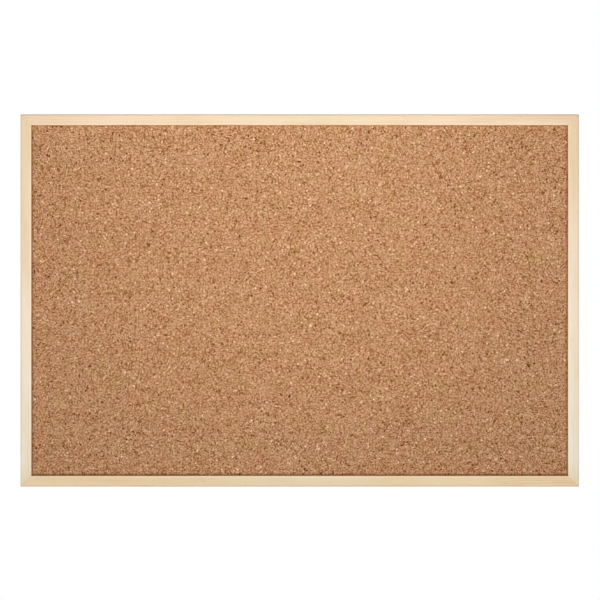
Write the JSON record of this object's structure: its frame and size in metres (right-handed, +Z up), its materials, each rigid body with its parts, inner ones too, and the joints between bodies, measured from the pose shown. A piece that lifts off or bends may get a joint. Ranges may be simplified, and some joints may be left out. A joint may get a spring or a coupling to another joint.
{
  "type": "cork notice board",
  "caption": "Landscape cork pin board in a narrow mitred pine frame, with D-ring hangers and rubber bumpers on the back.",
  "frame": {"origin": "on the wall plane, midway between the two hooks, at the height where the hooks bear inside the raised D-rings", "axes": "+X to the right as seen from the front, +Y from the board into the wall, +Z up; the cork faces -Y"},
  "size_m": [0.6, 0.0187, 0.4],
  "materials": {
    "pine": "planed and sanded, thin matt lacquer",
    "cork": "fine agglomerated cork, sanded, unsealed",
    "softboard": "felted soft fibre board",
    "hardboard": "hard fibre board, screen-marked back",
    "nail_steel": "bright rolled strip",
    "zinc_plate": "zinc plated, semi bright",
    "rubber": "moulded, matt"
  },
  "bodies": {
    "board": {"top_rail": "pine", "bottom_rail": "pine", "left_rail": "pine", "right_rail": "pine", "cork_sheet": "cork", "softboard_core": "softboard", "hardboard_back": "hardboard", "v_nail_top_left_1": "nail_steel", "v_nail_top_left_2": "nail_steel", "v_nail_top_right_1": "nail_steel", "v_nail_top_right_2": "nail_steel", "v_nail_bottom_left_1": "nail_steel", "v_nail_bottom_left_2": "nail_steel", "v_nail_bottom_right_1": "nail_steel", "v_nail_bottom_right_2": "nail_steel", "strap_left": "zinc_plate", "screw_left": "zinc_plate", "bumper_left": "rubber", "strap_right": "zinc_plate", "screw_right": "zinc_plate", "bumper_right": "rubber"},
    "ring_left": {"d_ring_left": "zinc_plate"},
    "ring_right": {"d_ring_right": "zinc_plate"}
  },
  "joints": [
    {"name": "ring_left_swing", "type": "hinge", "parent": "board", "child": "ring_left", "pos_m": [-0.2948, -0.0018, -0.00817], "axis": [-1, 0, 0], "range_deg": [0, 180.6]},
    {"name": "ring_right_swing", "type": "hinge", "parent": "board", "child": "ring_right", "pos_m": [0.2948, -0.0018, -0.00817], "axis": [-1, 0, 0], "range_deg": [0, 180.6]}
  ]
}
